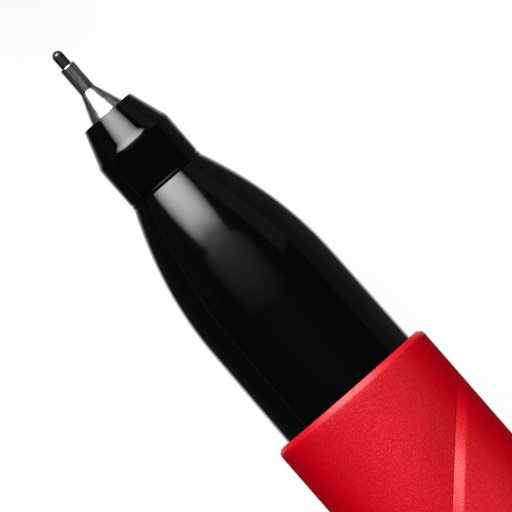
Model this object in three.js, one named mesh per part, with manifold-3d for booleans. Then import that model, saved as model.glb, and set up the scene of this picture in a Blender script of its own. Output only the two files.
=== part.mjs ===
// A dual tip marker lying on its side: a fine nib in a metal ferrule at one end, a broad chisel nib at
// the other. The fine cap is taken off and lies ahead of its nib, and the broad cap is on.
// Lengths are in millimetres. Stations run along the marker's axis, back from the tip of the fine nib.

import * as THREE from 'three';
import { mergeVertices } from 'three/addons/utils/BufferGeometryUtils.js';
import Module from 'manifold-3d';

const wasm = await Module();
wasm.setup();

// Fits and facets
const SLIP = 0.05; // radial clearance of pieces that slide or press together
const CAP_SLIP = 0.07; // radial clearance between a cap and the barrel it closes
const SEAM = 0.1; // gap between two faces that are pushed against each other
const CAP_SEAT = 0.3; // gap between a closed cap's mouth and the sleeve's edge
const ROUND_SIDES = 40; // facets round a large piece
const FINE_SIDES = 24; // facets round a small piece
const ARC_STEPS = 3; // facets round a rounded edge

// Fine nib and its wick
const NIB_RADIUS = 0.41;
const NIB_ROUNDING = 0.45; // length of the rounded tip
const NIB_EXPOSED = 1.39; // nib that shows ahead of the ferrule
const NIB_SHOULDER_SETBACK = 0.4; // room between the nib's shoulder and the cone it sits in
const NIB_TAIL_RADIUS = 0.75;
const NIB_LENGTH = 12.4;
const WICK_RADIUS = 1.0;
const WICK_LENGTH = 20.7;

// Ferrule, drawn from thin metal
const FERRULE_WALL = 0.135;
const FERRULE_LIP = 0.09; // chamfer round the front of the tube
const FERRULE_TUBE_LENGTH = 2.24;
const FERRULE_CONE_SLOPE = 0.388; // rise of the cone's radius per length
const FERRULE_CONE_SHOWN = 2.01; // cone that shows ahead of the nose
const FERRULE_TAIL_RADIUS = 1.5;
const FERRULE_LENGTH = 9.2;
const CARRIER_LENGTH = 3.9;
const CARRIER_SETBACK = 0.4; // from the end of the ferrule's cone to the carrier

// Nose
const NOSE_FACE_RADIUS = 2.12;
const NOSE_RADIUS = 3.07;
const NOSE_CONE_LENGTH = 2.86;
const NOSE_RING_LENGTH = 3.2;
const NOSE_FACE_ROUNDING = 0.12;
const NOSE_CORNER_ROUNDING = 0.35;
const NOSE_SPIGOT_RADIUS = 2.5;
const NOSE_SPIGOT_LENGTH = 8.0;

// Barrel core: the bullet-shaped front, then a tube that holds the ink
const CORE_LAND_LENGTH = 0.23; // straight edge between the seam and the bullet shape
const BULLET_LENGTH = 10.4;
const BULLET_RADIUS = 5.5; // where the bullet shape ends
const BULLET_FULLNESS = 1.85; // power of the curve: higher is blunter
const BULLET_STEPS = 12;
const TAPER_LENGTH = 8.97; // from the bullet shape to the sleeve's edge
const CORE_RADIUS = 5.65; // under the sleeve
const CORE_BORE_RADIUS = 4.75;
const CORE_FUNNEL_LENGTH = 5.0; // from the nose's spigot to the ledge
const LEDGE_WIDTH = 0.55; // step in the bore that the ink store stands on
const LEDGE_LENGTH = 1.0;
const CORE_INSET = 2.0; // how far the core ends inside the sleeve's far edge

// Outer sleeve
const SLEEVE_RADIUS = 6.63;
const SLEEVE_LENGTH = 68.0;
const SLEEVE_ROUNDING = 0.3;
const GROOVE_STATION = 42.3; // where the groove's steep wall crosses the middle of the sleeve
const GROOVE_LEAN = 1.057; // forward run of the groove per width
const GROOVE_WIDTH = 0.8; // square across the groove
const GROOVE_DEPTH = 0.29; // in the middle of the sleeve, fading towards its sides
const GROOVE_REACH = 0.985; // share of the sleeve's width that the groove crosses
const GROOVE_STEPS = 20;
const CUTTER_HEIGHT = 1.0; // how far the groove's cutter stands above the sleeve

// Ink store
const STORE_RADIUS = 4.45;
const FILM_WALL = 0.15;

// Broad end
const COLLAR_PLUG_LENGTH = 6.5;
const COLLAR_SEAT_LENGTH = 9.0; // straight length that the cap grips
const COLLAR_SEAT_END_RADIUS = 5.5;
const COLLAR_TAPER_LENGTH = 6.0;
const COLLAR_NECK_RADIUS = 3.7;
const COLLAR_NECK_LENGTH = 5.0;
const COLLAR_LIP_ROUNDING = 0.5;
const BROAD_NIB_RADIUS = 2.3;
const BROAD_NIB_EXPOSED = 7.0;
const BROAD_NIB_IN_STORE = 5.0; // nib inside the ink store
const CHISEL_ANGLE = 15; // degrees between the axis and each flat
const CHISEL_EDGE = 0.9; // thickness left at the edge
const CHISEL_SLANT = 25; // degrees that the edge leans back

// Caps. Depths run into a cap from its mouth.
const CAP_DRAFT = 0.01; // fall of a cap's radii per depth
const CAP_MOUTH_ROUNDING = 0.25;
const CAP_END_ROUNDING = 0.35;
const CUP_WALL = 0.6;
const CUP_FLOOR = 0.8;
const CUP_LIP = 0.25; // lead-in chamfer in the mouth of a cup
const CUP_OVERLAP = 0.5; // from the seam behind what a cup seals on to the cup's mouth
const CUP_FLANGE_RADIUS = 5.2;
const CUP_FLANGE_THICKNESS = 0.9;
const TIP_ROOM = 1.0; // between a nib's tip and the cup's floor
const CAP_LEDGE_LENGTH = 1.2;
const CAP_LEDGE_SLIP = 0.1; // room between a cup and the ledge that it passes through
const PLUG_DEPTH = 3.2;
const PLUG_HEAD_RADIUS = 6.05;
const PLUG_HEAD_THICKNESS = 1.4;
const PLUG_HEAD_ROUNDING = 0.4;
const FINE_CAP_AHEAD = 12.0; // from the fine nib's tip to the mouth of the cap that is off

// Clip, moulded on the fine cap's plug
const CLIP_OUTER_RADIUS = 8.9; // from the axis to the clip's back
const CLIP_THICKNESS = 1.35;
const CLIP_WIDTH = 4.0;
const CLIP_LENGTH = 30.0;
const CLIP_ROUNDING = 1.1;
const CLIP_BEAD_LENGTH = 3.2;
const CLIP_BEAD_GAP = 0.3; // between the bead and the cap
const CLIP_ROOT_DEPTH = 2.5; // how far the clip's root reaches into the plug's head

// Finishes
const GLOSS_BLACK = { color: 0x0a0a0b, roughness: 0.12, metalness: 0 };
const SATIN_RED = { color: 0xc80418, roughness: 0.42, metalness: 0 };
const DRAWN_METAL = { color: 0xb8bcc0, roughness: 0.25, metalness: 1 };
const NIB_FIBRE = { color: 0x1c1c1e, roughness: 0.8, metalness: 0 };
const INK_FIBRE = { color: 0x23232b, roughness: 0.95, metalness: 0 };
const NATURAL_PLASTIC = { color: 0xdcded9, roughness: 0.4, metalness: 0 };
const CLEAR_FILM = { color: 0xdadde0, roughness: 0.2, metalness: 0 };

// Stations that follow from the sizes above
const ferruleFront = NIB_EXPOSED;
const coneStart = ferruleFront + FERRULE_TUBE_LENGTH;
const ferruleEnd = ferruleFront + FERRULE_LENGTH;
const noseFace = coneStart + FERRULE_CONE_SHOWN;
const noseCorner = noseFace + NOSE_CONE_LENGTH;
const noseEnd = noseCorner + NOSE_RING_LENGTH;
const spigotEnd = noseEnd + NOSE_SPIGOT_LENGTH;
const coreFront = noseEnd + SEAM;
const bulletStart = coreFront + CORE_LAND_LENGTH;
const bulletEnd = bulletStart + BULLET_LENGTH;
const sleeveFront = bulletEnd + TAPER_LENGTH;
const sleeveEnd = sleeveFront + SLEEVE_LENGTH;
const coreEnd = sleeveEnd - CORE_INSET;
const ledgeStart = spigotEnd + CORE_FUNNEL_LENGTH;
const ledgeEnd = ledgeStart + LEDGE_LENGTH;
const collarShoulder = coreEnd + SEAM;
const collarPlugStart = collarShoulder - COLLAR_PLUG_LENGTH;
const storeFront = ledgeEnd + SEAM;
const storeEnd = collarPlugStart - SEAM;
const seatEnd = sleeveEnd + COLLAR_SEAT_LENGTH;
const neckStart = seatEnd + COLLAR_TAPER_LENGTH;
const neckEnd = neckStart + COLLAR_NECK_LENGTH;
const broadTip = neckEnd + BROAD_NIB_EXPOSED;
const broadTail = storeEnd - BROAD_NIB_IN_STORE;

// Radii that follow from the sizes above
const ferruleTubeRadius = NIB_RADIUS + SLIP + FERRULE_WALL;
const ferruleBoreRadius = ferruleTubeRadius - FERRULE_WALL;
const coneLength = (FERRULE_TAIL_RADIUS - ferruleTubeRadius) / FERRULE_CONE_SLOPE;
const coneEnd = coneStart + coneLength;
const capBoreRadius = CORE_RADIUS + CAP_SLIP;

// A solid of revolution about the X axis. The profile's [station, radius] points run from front to
// rear over the outside, and back to the front through any bore. A flat facet faces straight down.
function turned(profile, sides) {
  const points = profile.map(([station, radius]) => new THREE.Vector2(radius, station));
  const geometry = new THREE.LatheGeometry(points, sides, Math.PI / sides);
  geometry.rotateZ(-Math.PI / 2);
  return geometry;
}

// Points round a corner of a profile, tangent to the lines that meet there.
function rounded(before, corner, after, size) {
  const at = (end) => {
    const run = Math.hypot(end[0] - corner[0], end[1] - corner[1]);
    const reach = Math.min(size, run / 2) / run;
    const along = corner.map((value, axis) => value + (end[axis] - value) * reach);
    return new THREE.Vector2(...along);
  };
  const curve = new THREE.QuadraticBezierCurve(at(before), new THREE.Vector2(...corner), at(after));
  return curve.getPoints(ARC_STEPS).map((point) => [point.x, point.y]);
}

// Radii along a bullet shape that starts steep at a narrow end and runs out level at a wide one.
function bullet(narrowStation, narrowRadius, wideStation, wideRadius) {
  return Array.from({ length: BULLET_STEPS + 1 }, (_, step) => {
    const share = step / BULLET_STEPS;
    const drop = (wideRadius - narrowRadius) * (1 - share) ** BULLET_FULLNESS;
    return [narrowStation + (wideStation - narrowStation) * share, wideRadius - drop];
  });
}

function toSolid(geometry) {
  const bare = geometry.clone();
  bare.deleteAttribute('normal');
  bare.deleteAttribute('uv');
  const merged = mergeVertices(bare, 1e-5);
  const corners = merged.index.array;
  const triVerts = [];
  for (let start = 0; start < corners.length; start += 3) {
    const [a, b, c] = corners.slice(start, start + 3);
    if (a !== b && b !== c && c !== a) triVerts.push(a, b, c);
  }
  const vertProperties = merged.attributes.position.array;
  return new wasm.Manifold(
    new wasm.Mesh({ numProp: 3, vertProperties, triVerts: new Uint32Array(triVerts) }),
  );
}

function toGeometry(solid) {
  const mesh = solid.getMesh();
  const geometry = new THREE.BufferGeometry();
  geometry.setAttribute('position', new THREE.BufferAttribute(mesh.vertProperties, 3));
  geometry.setIndex(new THREE.BufferAttribute(mesh.triVerts, 1));
  geometry.computeVertexNormals();
  return geometry;
}

function piece(name, geometry, finish) {
  const mesh = new THREE.Mesh(geometry, new THREE.MeshStandardMaterial(finish));
  mesh.name = name;
  return mesh;
}

function fineNib() {
  const tip = Array.from({ length: ARC_STEPS + 2 }, (_, step) => {
    const angle = (step / (ARC_STEPS + 1)) * (Math.PI / 2);
    return [NIB_ROUNDING * (1 - Math.cos(angle)), NIB_RADIUS * Math.sin(angle)];
  });
  const shoulder = coneStart + NIB_SHOULDER_SETBACK;
  const tailStart = shoulder + (NIB_TAIL_RADIUS - NIB_RADIUS) / FERRULE_CONE_SLOPE;
  const profile = [
    ...tip,
    [shoulder, NIB_RADIUS],
    [tailStart, NIB_TAIL_RADIUS],
    [NIB_LENGTH, NIB_TAIL_RADIUS],
    [NIB_LENGTH, 0],
  ];
  return piece('fine_nib', turned(profile, FINE_SIDES), NIB_FIBRE);
}

function fineWick() {
  const front = NIB_LENGTH + SEAM;
  const end = front + WICK_LENGTH;
  const profile = [[front, 0], [front, WICK_RADIUS], [end, WICK_RADIUS], [end, 0]];
  return piece('fine_wick', turned(profile, FINE_SIDES), INK_FIBRE);
}

function fineFerrule() {
  const tailBore = FERRULE_TAIL_RADIUS - FERRULE_WALL;
  const profile = [
    [ferruleFront, ferruleBoreRadius],
    [ferruleFront, ferruleTubeRadius - FERRULE_LIP],
    [ferruleFront + FERRULE_LIP, ferruleTubeRadius],
    [coneStart, ferruleTubeRadius],
    [coneEnd, FERRULE_TAIL_RADIUS],
    [ferruleEnd, FERRULE_TAIL_RADIUS],
    [ferruleEnd, tailBore],
    [coneEnd, tailBore],
    [coneStart, ferruleBoreRadius],
    [ferruleFront, ferruleBoreRadius],
  ];
  return piece('fine_ferrule', turned(profile, FINE_SIDES), DRAWN_METAL);
}

function fineNibCarrier() {
  const front = coneEnd + CARRIER_SETBACK;
  const end = front + CARRIER_LENGTH;
  const outer = FERRULE_TAIL_RADIUS - FERRULE_WALL - SLIP;
  const bore = NIB_TAIL_RADIUS + SLIP;
  const profile = [[front, bore], [front, outer], [end, outer], [end, bore], [front, bore]];
  return piece('fine_nib_carrier', turned(profile, FINE_SIDES), NATURAL_PLASTIC);
}

function fineNose() {
  const tailHole = FERRULE_TAIL_RADIUS + SLIP;
  const mouth = ferruleTubeRadius + FERRULE_CONE_SHOWN * FERRULE_CONE_SLOPE + SLIP;
  const hollowEnd = ferruleEnd + SEAM;
  const wickHole = WICK_RADIUS + SLIP;
  const faceCorner = [noseFace, NOSE_FACE_RADIUS];
  const ringCorner = [noseCorner, NOSE_RADIUS];
  const ringEnd = [noseEnd, NOSE_RADIUS];
  const profile = [
    [noseFace, mouth],
    ...rounded([noseFace, mouth], faceCorner, ringCorner, NOSE_FACE_ROUNDING),
    ...rounded(faceCorner, ringCorner, ringEnd, NOSE_CORNER_ROUNDING),
    ringEnd,
    [noseEnd, NOSE_SPIGOT_RADIUS],
    [spigotEnd, NOSE_SPIGOT_RADIUS],
    [spigotEnd, wickHole],
    [hollowEnd, wickHole],
    [hollowEnd, tailHole],
    [coneEnd, tailHole],
    [noseFace, mouth],
  ];
  return piece('fine_nose', turned(profile, ROUND_SIDES), GLOSS_BLACK);
}

function barrelCore() {
  const spigotHole = NOSE_SPIGOT_RADIUS + SLIP;
  const ledgeHole = CORE_BORE_RADIUS - LEDGE_WIDTH;
  const profile = [
    [coreFront, spigotHole],
    [coreFront, NOSE_RADIUS],
    ...bullet(bulletStart, NOSE_RADIUS, bulletEnd, BULLET_RADIUS),
    [sleeveFront, CORE_RADIUS],
    [coreEnd, CORE_RADIUS],
    [coreEnd, CORE_BORE_RADIUS],
    [ledgeEnd, CORE_BORE_RADIUS],
    [ledgeEnd, ledgeHole],
    [ledgeStart, ledgeHole],
    [spigotEnd, spigotHole],
    [coreFront, spigotHole],
  ];
  return piece('barrel_core', turned(profile, ROUND_SIDES), GLOSS_BLACK);
}

// Cutter for the sleeve's groove: a row of four-sided sections across the sleeve, each with a steep
// wall ahead and a ramp that rises rearwards to the surface. side is 1 for the top, -1 for underneath.
function grooveCutter(side) {
  const run = GROOVE_WIDTH * Math.hypot(1, GROOVE_LEAN);
  const positions = [];
  for (let step = 0; step <= GROOVE_STEPS; step += 1) {
    const across = SLEEVE_RADIUS * GROOVE_REACH * ((2 * step) / GROOVE_STEPS - 1);
    const surface = Math.sqrt(SLEEVE_RADIUS ** 2 - across ** 2);
    const wall = GROOVE_STATION - GROOVE_LEAN * across;
    const floor = surface - (GROOVE_DEPTH * surface) / SLEEVE_RADIUS;
    const clear = surface + CUTTER_HEIGHT;
    positions.push(wall, across, side * floor);
    positions.push(wall + run, across, side * surface);
    positions.push(wall + run, across, side * clear);
    positions.push(wall, across, side * clear);
  }
  const faces = [];
  const quad = (a, b, c, d) => faces.push(a, b, c, a, c, d);
  for (let step = 0; step < GROOVE_STEPS; step += 1) {
    for (let edge = 0; edge < 4; edge += 1) {
      const next = (edge + 1) % 4;
      quad(4 * step + edge, 4 * step + 4 + edge, 4 * step + 4 + next, 4 * step + next);
    }
  }
  const last = 4 * GROOVE_STEPS;
  quad(0, 1, 2, 3);
  quad(last + 3, last + 2, last + 1, last);
  const geometry = new THREE.BufferGeometry();
  geometry.setAttribute('position', new THREE.Float32BufferAttribute(positions, 3));
  geometry.setIndex(side > 0 ? faces : faces.reverse());
  return toSolid(geometry);
}

function outerSleeve() {
  const bore = CORE_RADIUS + SLIP;
  const frontCorner = [sleeveFront, SLEEVE_RADIUS];
  const endCorner = [sleeveEnd, SLEEVE_RADIUS];
  const profile = [
    [sleeveFront, bore],
    ...rounded([sleeveFront, bore], frontCorner, endCorner, SLEEVE_ROUNDING),
    ...rounded(frontCorner, endCorner, [sleeveEnd, bore], SLEEVE_ROUNDING),
    [sleeveEnd, bore],
    [sleeveFront, bore],
  ];
  const plain = toSolid(turned(profile, ROUND_SIDES));
  const grooved = plain.subtract(grooveCutter(1)).subtract(grooveCutter(-1));
  return piece('outer_sleeve', toGeometry(grooved), SATIN_RED);
}

function inkReservoir() {
  const wickHole = WICK_RADIUS + SLIP;
  const wickEnd = NIB_LENGTH + SEAM + WICK_LENGTH + SEAM;
  const nibHole = BROAD_NIB_RADIUS + SLIP;
  const nibEnd = broadTail - SEAM;
  const profile = [
    [wickEnd, 0],
    [wickEnd, wickHole],
    [storeFront, wickHole],
    [storeFront, STORE_RADIUS],
    [storeEnd, STORE_RADIUS],
    [storeEnd, nibHole],
    [nibEnd, nibHole],
    [nibEnd, 0],
  ];
  return piece('ink_reservoir', turned(profile, FINE_SIDES), INK_FIBRE);
}

function reservoirFilm() {
  const inner = STORE_RADIUS + SLIP;
  const outer = inner + FILM_WALL;
  const profile = [
    [storeFront, inner],
    [storeFront, outer],
    [storeEnd, outer],
    [storeEnd, inner],
    [storeFront, inner],
  ];
  return piece('reservoir_film', turned(profile, FINE_SIDES), CLEAR_FILM);
}

function broadCollar() {
  const bore = BROAD_NIB_RADIUS + SLIP;
  const plug = CORE_BORE_RADIUS - SLIP;
  const taper = bullet(neckStart, COLLAR_NECK_RADIUS, seatEnd, COLLAR_SEAT_END_RADIUS).reverse();
  const lip = [neckEnd, COLLAR_NECK_RADIUS];
  const profile = [
    [collarPlugStart, bore],
    [collarPlugStart, plug],
    [collarShoulder, plug],
    [collarShoulder, CORE_RADIUS],
    [sleeveEnd, CORE_RADIUS],
    ...taper,
    ...rounded([neckStart, COLLAR_NECK_RADIUS], lip, [neckEnd, bore], COLLAR_LIP_ROUNDING),
    [neckEnd, bore],
    [collarPlugStart, bore],
  ];
  return piece('broad_collar', turned(profile, ROUND_SIDES), GLOSS_BLACK);
}

// A block that cuts away everything on one side of a plane through a point of the chisel. The plane
// leans about Y by the angle given.
function chiselCut(station, height, angle, side) {
  const size = 4 * BROAD_NIB_EXPOSED;
  const block = new THREE.BoxGeometry(size, size, size);
  block.translate(0, 0, (side * size) / 2);
  block.rotateY(THREE.MathUtils.degToRad(side * angle));
  block.translate(station, 0, side * height);
  return toSolid(block);
}

// The end cut that slants the chisel's edge, so that one of its corners leads.
function edgeCut() {
  const size = 4 * BROAD_NIB_EXPOSED;
  const block = new THREE.BoxGeometry(size, size, size);
  block.translate(size / 2, 0, 0);
  block.rotateZ(THREE.MathUtils.degToRad(CHISEL_SLANT));
  const lead = BROAD_NIB_RADIUS * Math.tan(THREE.MathUtils.degToRad(CHISEL_SLANT));
  block.translate(broadTip - lead, 0, 0);
  return toSolid(block);
}

function broadNib() {
  const profile = [
    [broadTail, 0],
    [broadTail, BROAD_NIB_RADIUS],
    [broadTip, BROAD_NIB_RADIUS],
    [broadTip, 0],
  ];
  const rod = toSolid(turned(profile, FINE_SIDES));
  const nib = rod
    .subtract(chiselCut(broadTip, CHISEL_EDGE / 2, CHISEL_ANGLE, 1))
    .subtract(chiselCut(broadTip, CHISEL_EDGE / 2, CHISEL_ANGLE, -1))
    .subtract(edgeCut());
  return piece('broad_nib', toGeometry(nib), NIB_FIBRE);
}

// The depths of a cap's inner pieces, from how deep its nib's tip and its seal lie when it is on.
function capDepths(tip, seal) {
  const cupFloor = tip + TIP_ROOM;
  const cupEnd = cupFloor + CUP_FLOOR;
  const flange = cupEnd - CUP_FLANGE_THICKNESS;
  const plug = cupEnd + SEAM;
  const end = plug + PLUG_DEPTH;
  return { cupMouth: seal + CUP_OVERLAP, cupFloor, cupEnd, flange, ledge: flange - SEAM, plug, end };
}

function capShell(name, depths, cupBore) {
  const outerAt = (depth) => SLEEVE_RADIUS - CAP_DRAFT * depth;
  const boreAt = (depth) => capBoreRadius - CAP_DRAFT * depth;
  const recess = CUP_FLANGE_RADIUS + SLIP;
  const ledgeHole = cupBore + CUP_WALL + CAP_LEDGE_SLIP;
  const ledgeFront = depths.ledge - CAP_LEDGE_LENGTH;
  const mouthCorner = [0, outerAt(0)];
  const endCorner = [depths.end, outerAt(depths.end)];
  const profile = [
    [0, boreAt(0)],
    ...rounded([0, boreAt(0)], mouthCorner, endCorner, CAP_MOUTH_ROUNDING),
    ...rounded(mouthCorner, endCorner, [depths.end, recess], CAP_END_ROUNDING),
    [depths.end, recess],
    [depths.ledge, recess],
    [depths.ledge, ledgeHole],
    [ledgeFront, ledgeHole],
    [ledgeFront, boreAt(ledgeFront)],
    [0, boreAt(0)],
  ];
  return piece(name, turned(profile, ROUND_SIDES), GLOSS_BLACK);
}

function capCup(name, depths, cupBore) {
  const outer = cupBore + CUP_WALL;
  const profile = [
    [depths.cupFloor, 0],
    [depths.cupFloor, cupBore],
    [depths.cupMouth + CUP_LIP, cupBore],
    [depths.cupMouth, cupBore + CUP_LIP],
    [depths.cupMouth, outer],
    [depths.flange, outer],
    [depths.flange, CUP_FLANGE_RADIUS],
    [depths.cupEnd, CUP_FLANGE_RADIUS],
    [depths.cupEnd, 0],
  ];
  return piece(name, turned(profile, ROUND_SIDES), NATURAL_PLASTIC);
}

// The plug that closes a cap's far end: a spigot behind the cup's flange and a round head outside.
function capPlug(depths) {
  const head = depths.end + SEAM;
  const headEnd = head + PLUG_HEAD_THICKNESS;
  const headCorner = [headEnd, PLUG_HEAD_RADIUS];
  const profile = [
    [depths.plug, 0],
    [depths.plug, CUP_FLANGE_RADIUS],
    [head, CUP_FLANGE_RADIUS],
    [head, PLUG_HEAD_RADIUS],
    ...rounded([head, PLUG_HEAD_RADIUS], headCorner, [headEnd, 0], PLUG_HEAD_ROUNDING),
    [headEnd, 0],
  ];
  return turned(profile, ROUND_SIDES);
}

// Outline of the clip in depth and height above the axis, then drawn out to its width.
function clipArm(depths) {
  const rootFront = depths.end + SEAM;
  const rootEnd = rootFront + PLUG_HEAD_THICKNESS;
  const tip = rootEnd - CLIP_LENGTH;
  const back = CLIP_OUTER_RADIUS;
  const belly = back - CLIP_THICKNESS;
  const beadEnd = tip + CLIP_BEAD_LENGTH;
  const bead = SLEEVE_RADIUS - CAP_DRAFT * tip + CLIP_BEAD_GAP;
  const root = PLUG_HEAD_RADIUS - CLIP_ROOT_DEPTH;
  const outline = new THREE.Shape();
  outline.moveTo(rootFront, root);
  outline.lineTo(rootEnd, root);
  outline.lineTo(rootEnd, back - CLIP_ROUNDING);
  outline.quadraticCurveTo(rootEnd, back, rootEnd - CLIP_ROUNDING, back);
  outline.lineTo(tip + CLIP_ROUNDING, back);
  outline.quadraticCurveTo(tip, back, tip, back - CLIP_ROUNDING);
  outline.quadraticCurveTo((tip + beadEnd) / 2, 2 * bead - belly, beadEnd, belly);
  outline.lineTo(rootFront, belly);
  const bar = new THREE.ExtrudeGeometry(outline, {
    depth: CLIP_WIDTH,
    bevelEnabled: false,
    curveSegments: 2 * ARC_STEPS,
  });
  bar.translate(0, 0, -CLIP_WIDTH / 2);
  bar.rotateX(Math.PI / 2);
  return bar;
}

function fineCapClip(depths) {
  const clip = toSolid(capPlug(depths)).add(toSolid(clipArm(depths)));
  return piece('fine_cap_clip', toGeometry(clip), SATIN_RED);
}

// The clip leans down beside the marker until the corner of its back meets the surface that the
// sleeve lies on, and so keeps the marker from rolling.
function clipLean() {
  const axisHeight = SLEEVE_RADIUS * Math.cos(Math.PI / ROUND_SIDES);
  const cornerRadius = Math.hypot(CLIP_OUTER_RADIUS, CLIP_WIDTH / 2);
  const cornerAngle = Math.atan2(CLIP_WIDTH / 2, CLIP_OUTER_RADIUS);
  return Math.acos(axisHeight / cornerRadius) + cornerAngle;
}

function fineCap() {
  const mouthWhenOn = sleeveFront - CAP_SEAT;
  const cupBore = NOSE_RADIUS + SLIP;
  const depths = capDepths(mouthWhenOn, mouthWhenOn - noseEnd);
  const clip = fineCapClip(depths);
  clip.rotation.x = clipLean() - Math.PI;
  const cap = new THREE.Group();
  cap.add(capShell('fine_cap_shell', depths, cupBore));
  cap.add(capCup('fine_cap_inner', depths, cupBore));
  cap.add(clip);
  cap.rotation.z = Math.PI;
  cap.position.x = -FINE_CAP_AHEAD;
  return cap;
}

function broadCap() {
  const mouth = sleeveEnd + CAP_SEAT;
  const cupBore = COLLAR_NECK_RADIUS + SLIP;
  const depths = capDepths(broadTip - mouth, neckStart - mouth);
  const cap = new THREE.Group();
  cap.add(capShell('broad_cap_shell', depths, cupBore));
  cap.add(capCup('broad_cap_inner', depths, cupBore));
  cap.add(piece('broad_cap_plug', capPlug(depths), SATIN_RED));
  cap.position.x = mouth;
  return cap;
}

const marker = new THREE.Group();
marker.add(
  fineNib(),
  fineWick(),
  fineFerrule(),
  fineNibCarrier(),
  fineNose(),
  barrelCore(),
  outerSleeve(),
  inkReservoir(),
  reservoirFilm(),
  broadCollar(),
  broadNib(),
  fineCap(),
  broadCap(),
);

// The origin is under the middle of everything, on the surface that the marker lies on.
const extent = new THREE.Box3().setFromObject(marker, true);
const middle = extent.getCenter(new THREE.Vector3());
marker.position.set(-middle.x, -middle.y, -extent.min.z);

const part = new THREE.Group();
part.add(marker);

export default part;
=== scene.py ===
import math

import bmesh
import bpy
import numpy as np
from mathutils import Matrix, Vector


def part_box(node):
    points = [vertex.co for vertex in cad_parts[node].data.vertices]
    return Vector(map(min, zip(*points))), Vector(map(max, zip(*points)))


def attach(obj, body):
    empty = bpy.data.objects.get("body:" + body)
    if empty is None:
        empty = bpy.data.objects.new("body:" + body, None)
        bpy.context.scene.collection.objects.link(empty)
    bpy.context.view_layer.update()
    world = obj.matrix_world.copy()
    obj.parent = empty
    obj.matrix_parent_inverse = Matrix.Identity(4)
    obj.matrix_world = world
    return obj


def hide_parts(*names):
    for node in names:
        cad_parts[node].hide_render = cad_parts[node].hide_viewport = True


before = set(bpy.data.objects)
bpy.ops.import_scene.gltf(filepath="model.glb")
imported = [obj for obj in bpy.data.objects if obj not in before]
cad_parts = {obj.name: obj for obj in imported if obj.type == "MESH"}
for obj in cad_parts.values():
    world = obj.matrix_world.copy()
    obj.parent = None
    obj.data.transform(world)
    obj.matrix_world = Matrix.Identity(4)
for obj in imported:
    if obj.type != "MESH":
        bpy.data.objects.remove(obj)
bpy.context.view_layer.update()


# Ink store
# A rod of bonded fibre holds the ink, wrapped in a thin clear film. A round wick draws ink from it into
# the fine nib, through a small bush that centres the nib. All of them push into the barrel from behind.
MM = 0.001
INK = (0.010, 0.010, 0.014, 1)
WET_FIBRE = (0.030, 0.030, 0.036, 1)
MILKY = (0.70, 0.71, 0.69, 1)
MILKY_FLOW = (0.77, 0.78, 0.77, 1)
FILM_TINT = (0.80, 0.82, 0.84, 1)
FILM_CREASE = (0.90, 0.91, 0.92, 1)
PLASTIC_IOR = 1.49


class Wire:
    """One output of a node. Sums of wires and numbers add their Math nodes."""

    def __init__(self, graph, socket):
        self.graph = graph
        self.socket = socket

    def twin(self, key):
        """Another output of the same node."""
        return Wire(self.graph, pick(self.socket.node.outputs, key))

    def __add__(self, other):
        return self.graph.math("ADD", self, other)

    def __sub__(self, other):
        return self.graph.math("SUBTRACT", self, other)

    def __rsub__(self, other):
        return self.graph.math("SUBTRACT", other, self)

    def __mul__(self, other):
        return self.graph.math("MULTIPLY", self, other)

    def __pow__(self, other):
        return self.graph.math("POWER", self, other)


def pick(sockets, key):
    """A node's socket by its number, its identifier or its name."""
    if isinstance(key, int):
        return sockets[key]
    return next(socket for socket in sockets if key in (socket.identifier, socket.name))


class Graph:
    """A node tree that is written as code."""

    def __init__(self, tree):
        self.tree = tree

    def node(self, kind, settings=None, inputs=None, output=0):
        """A new node, given as the wire of one of its outputs."""
        made = self.tree.nodes.new(kind)
        for name, value in (settings or {}).items():
            setattr(made, name, value)
        self.feed(made, inputs or {})
        return Wire(self, pick(made.outputs, output))

    def feed(self, made, inputs):
        """Links wires to a node's inputs and writes plain values into them."""
        for name, value in inputs.items():
            socket = pick(made.inputs, name)
            for item in value if isinstance(value, list) else [value]:
                if isinstance(item, Wire):
                    self.tree.links.new(item.socket, socket)
                else:
                    socket.default_value = item

    def math(self, operation, *values):
        return self.node("ShaderNodeMath", {"operation": operation}, dict(enumerate(values)))

    def ramp(self, value, low, high, to_low=0.0, to_high=1.0):
        """A smooth step from to_low to to_high while value goes from low to high."""
        return self.node(
            "ShaderNodeMapRange",
            {"interpolation_type": "SMOOTHSTEP"},
            {"Value": value, "From Min": low, "From Max": high, "To Min": to_low, "To Max": to_high},
        )


class Finish(Graph):
    """A surface that reads Object coordinates. Sizes of its grain are in millimetres."""

    MIDDLE = (0.3, 0.7)  # most of a noise lies between these

    def __init__(self, name, **constants):
        self.material = bpy.data.materials.new(name)
        self.material.use_nodes = True
        super().__init__(self.material.node_tree)
        self.shader = self.tree.nodes["Principled BSDF"]
        self.set({label.replace("_", " "): value for label, value in constants.items()})
        self.place = self.node("ShaderNodeTexCoord", output="Object")

    def set(self, inputs):
        self.feed(self.shader, inputs)

    def noise(self, along, across, detail=3.0, distortion=0.0):
        """Cloudy values round 0.5, in patches that are this long and wide on the marker."""
        scale = (1 / (along * MM), 1 / (across * MM), 1 / (across * MM))
        where = self.node("ShaderNodeMapping", {}, {"Vector": self.place, "Scale": scale})
        return self.node(
            "ShaderNodeTexNoise",
            {},
            {"Vector": where, "Scale": 1.0, "Detail": detail, "Distortion": distortion},
        )

    def vary(self, noise, low=0.0, high=1.0):
        """A value that wanders from low to high with a noise."""
        return self.ramp(noise, *self.MIDDLE, low, high)

    def blend(self, factor, first, second):
        """A colour between two others."""
        return self.node(
            "ShaderNodeMix",
            {"data_type": "RGBA"},
            {"Factor_Float": factor, "A_Color": first, "B_Color": second},
            "Result_Color",
        )

    def relief(self, height, depth, under=None):
        """A normal for a height from 0 to 1 that stands for this depth in millimetres."""
        inputs = {"Strength": 1.0, "Distance": depth * MM, "Height": height}
        if under:
            inputs["Normal"] = under
        return self.node("ShaderNodeBump", {}, inputs, "Normal")


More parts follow.
